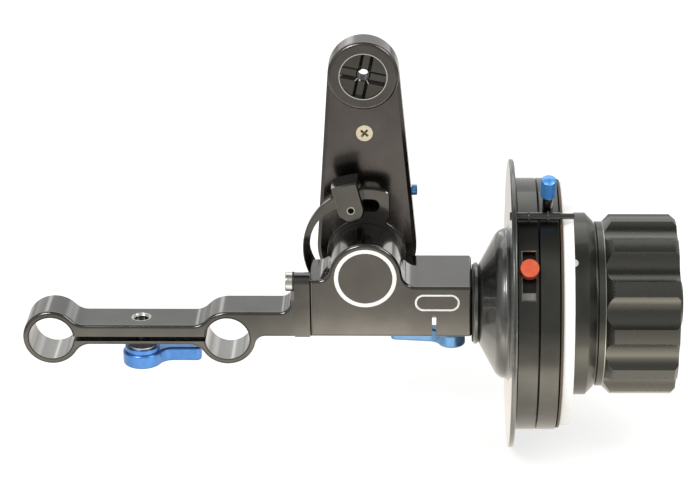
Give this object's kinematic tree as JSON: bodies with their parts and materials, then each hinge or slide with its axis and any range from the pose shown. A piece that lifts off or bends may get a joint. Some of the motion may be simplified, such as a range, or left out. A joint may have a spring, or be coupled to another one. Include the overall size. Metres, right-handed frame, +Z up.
{
  "type": "follow focus unit",
  "caption": "Gear box on a rod bridge with a fluted handwheel, white marking ring, hard-stop rings and a swing arm that drives a coupler.",
  "frame": {"origin": "axis of the left rod bore at the bridge's front face", "axes": "+X from the rods to the handwheel along the wheel's axis, +Y from the front face back to the swing arm along the rods, +Z up"},
  "size_m": [0.2238, 0.098, 0.1362],
  "materials": {
    "black_anodised": "gloss black anodised",
    "black_grip": "satin black anodised, fluted",
    "stainless": "bright turned steel",
    "gear_steel": "machined steel",
    "gear_brass": "machined brass",
    "brass": "polished brass",
    "black_washer": "dark low-friction washer",
    "blue_anodised": "blue anodised",
    "orange_anodised": "orange-red anodised",
    "white_marking": "white writable surface",
    "bumper_rubber": "black rubber",
    "step_steel": "bare aluminium"
  },
  "bodies": {
    "housing": {"rod_bridge": "black_anodised", "rod_clamp_stud": "stainless", "rod_clamp_spacer": "black_washer", "rod_clamp_washer": "stainless", "adapter_plate": "black_anodised", "plate_washer": "black_washer", "plate_screw": "stainless", "gear_housing": "black_anodised", "pivot_flange": "gear_steel", "neck_clip": "gear_steel", "barrel_clamp_stud": "stainless", "barrel_clamp_spacer": "black_washer", "barrel_clamp_washer": "stainless", "neck_washer": "black_washer", "bearing_tube": "gear_brass", "bell": "black_anodised", "drag_washer": "black_washer", "stop_flange": "black_anodised", "core_ring": "black_anodised", "index_bar": "black_anodised", "bumper_a": "bumper_rubber", "bumper_b": "bumper_rubber"},
    "handwheel": {"wheel_spindle": "gear_steel", "thrust_collar": "gear_steel", "bevel_pinion": "gear_steel", "wheel_hub": "black_anodised", "marking_disc": "black_anodised", "marking_ring": "white_marking", "knob_base": "black_anodised", "fluted_knob": "black_grip", "end_cap": "black_anodised"},
    "cross_shaft": {"cross_arbor": "gear_steel", "bevel_gear": "gear_steel", "cross_pinion": "gear_brass"},
    "pivot_shaft": {"pivot_arbor": "gear_steel", "pivot_gear": "gear_steel"},
    "swing_arm": {"arm_case": "black_anodised", "arm_cover": "black_anodised", "pivot_collar": "black_anodised", "head_rim": "stainless", "cover_screw": "brass", "idler_pin_1": "gear_steel", "idler_pin_2": "gear_steel"},
    "input_gear": {"arm_input_gear": "gear_brass"},
    "idler_1": {"idler_gear_1": "gear_steel"},
    "idler_2": {"idler_gear_2": "gear_brass"},
    "output": {"output_gear": "black_anodised", "cross_coupler": "black_anodised"},
    "arm_lock": {"lock_ring": "black_anodised", "lock_tab": "black_anodised", "lock_tab_screw": "stainless"},
    "rod_lever": {"rod_clamp_lever": "blue_anodised"},
    "barrel_lever": {"barrel_clamp_lever": "blue_anodised"},
    "stop_a": {"stop_ring_a": "black_anodised", "stop_pad": "step_steel"},
    "stop_a_button": {"stop_button": "orange_anodised"},
    "stop_b": {"stop_ring_b": "black_anodised", "stop_stem": "black_anodised"},
    "stop_b_knob": {"stop_knob": "blue_anodised"},
    "arm_side_screw": {"side_screw": "blue_anodised"}
  },
  "joints": [
    {"name": "handwheel_spin", "type": "hinge", "parent": "housing", "child": "handwheel", "pos_m": [0.10704, 0.008, 0.00991], "axis": [1, 0, 0], "continuous": true},
    {"name": "cross_shaft_spin", "type": "hinge", "parent": "housing", "child": "cross_shaft", "pos_m": [0.10704, 0.008, 0.00991], "axis": [0, 1, 0], "continuous": true},
    {"name": "pivot_shaft_spin", "type": "hinge", "parent": "housing", "child": "pivot_shaft", "pos_m": [0.10704, 0, 0.02241], "axis": [0, 1, 0], "continuous": true},
    {"name": "arm_swing", "type": "hinge", "parent": "housing", "child": "swing_arm", "pos_m": [0.10704, 0, 0.02241], "axis": [0, 1, 0], "range_deg": [-88, 32]},
    {"name": "input_gear_spin", "type": "hinge", "parent": "swing_arm", "child": "input_gear", "pos_m": [0.10704, 0, 0.02241], "axis": [0, 1, 0], "continuous": true},
    {"name": "idler_1_spin", "type": "hinge", "parent": "swing_arm", "child": "idler_1", "pos_m": [0.10676, 0.0313, 0.04328], "axis": [0, 1, 0], "continuous": true},
    {"name": "idler_2_spin", "type": "hinge", "parent": "swing_arm", "child": "idler_2", "pos_m": [0.10647, 0.0313, 0.06414], "axis": [0, 1, 0], "continuous": true},
    {"name": "output_spin", "type": "hinge", "parent": "swing_arm", "child": "output", "pos_m": [0.10619, 0.0313, 0.085], "axis": [0, 1, 0], "continuous": true},
    {"name": "arm_lock_turn", "type": "hinge", "parent": "housing", "child": "arm_lock", "pos_m": [0.10704, 0, 0.02241], "axis": [0, 1, 0], "range_deg": [-20, 20]},
    {"name": "rod_lever_turn", "type": "hinge", "parent": "housing", "child": "rod_lever", "pos_m": [0.0302, 0.0075, 0], "axis": [0, 0, 1], "range_deg": [-150, 0]},
    {"name": "barrel_lever_turn", "type": "hinge", "parent": "housing", "child": "barrel_lever", "pos_m": [0.13624, 0.016, 0], "axis": [0, 0, 1], "range_deg": [-20, 80]},
    {"name": "stop_a_turn", "type": "hinge", "parent": "housing", "child": "stop_a", "pos_m": [0.10704, 0.008, 0.00991], "axis": [1, 0, 0], "range_deg": [-17, 310]},
    {"name": "stop_a_press", "type": "slide", "parent": "stop_a", "child": "stop_a_button", "axis": [0, 0.7859, -0.6184], "range_m": [0, 0.0009], "stiffness_N_per_m": 400, "springref_m": -0.002},
    {"name": "stop_b_turn", "type": "hinge", "parent": "housing", "child": "stop_b", "pos_m": [0.10704, 0.008, 0.00991], "axis": [1, 0, 0], "range_deg": [-310, 0]},
    {"name": "stop_b_knob_turn", "type": "hinge", "parent": "stop_b", "child": "stop_b_knob", "pos_m": [0.16718, -0.01024, 0.05646], "axis": [0, -0.3649, 0.9311], "continuous": true},
    {"name": "side_screw_turn", "type": "hinge", "parent": "swing_arm", "child": "arm_side_screw", "pos_m": [0.12177, 0.0313, 0.04201], "axis": [0.9999, 0, 0.0136], "continuous": true}
  ],
  "couplings": [
    {"joint": "cross_shaft_spin", "follows": "handwheel_spin", "ratio": -1},
    {"joint": "pivot_shaft_spin", "follows": "handwheel_spin", "ratio": 0.66667},
    {"joint": "input_gear_spin", "follows": "handwheel_spin", "ratio": 0.66667},
    {"joint": "idler_1_spin", "follows": "handwheel_spin", "ratio": -0.80702},
    {"joint": "idler_2_spin", "follows": "handwheel_spin", "ratio": 0.66667},
    {"joint": "output_spin", "follows": "handwheel_spin", "ratio": -0.80702}
  ]
}
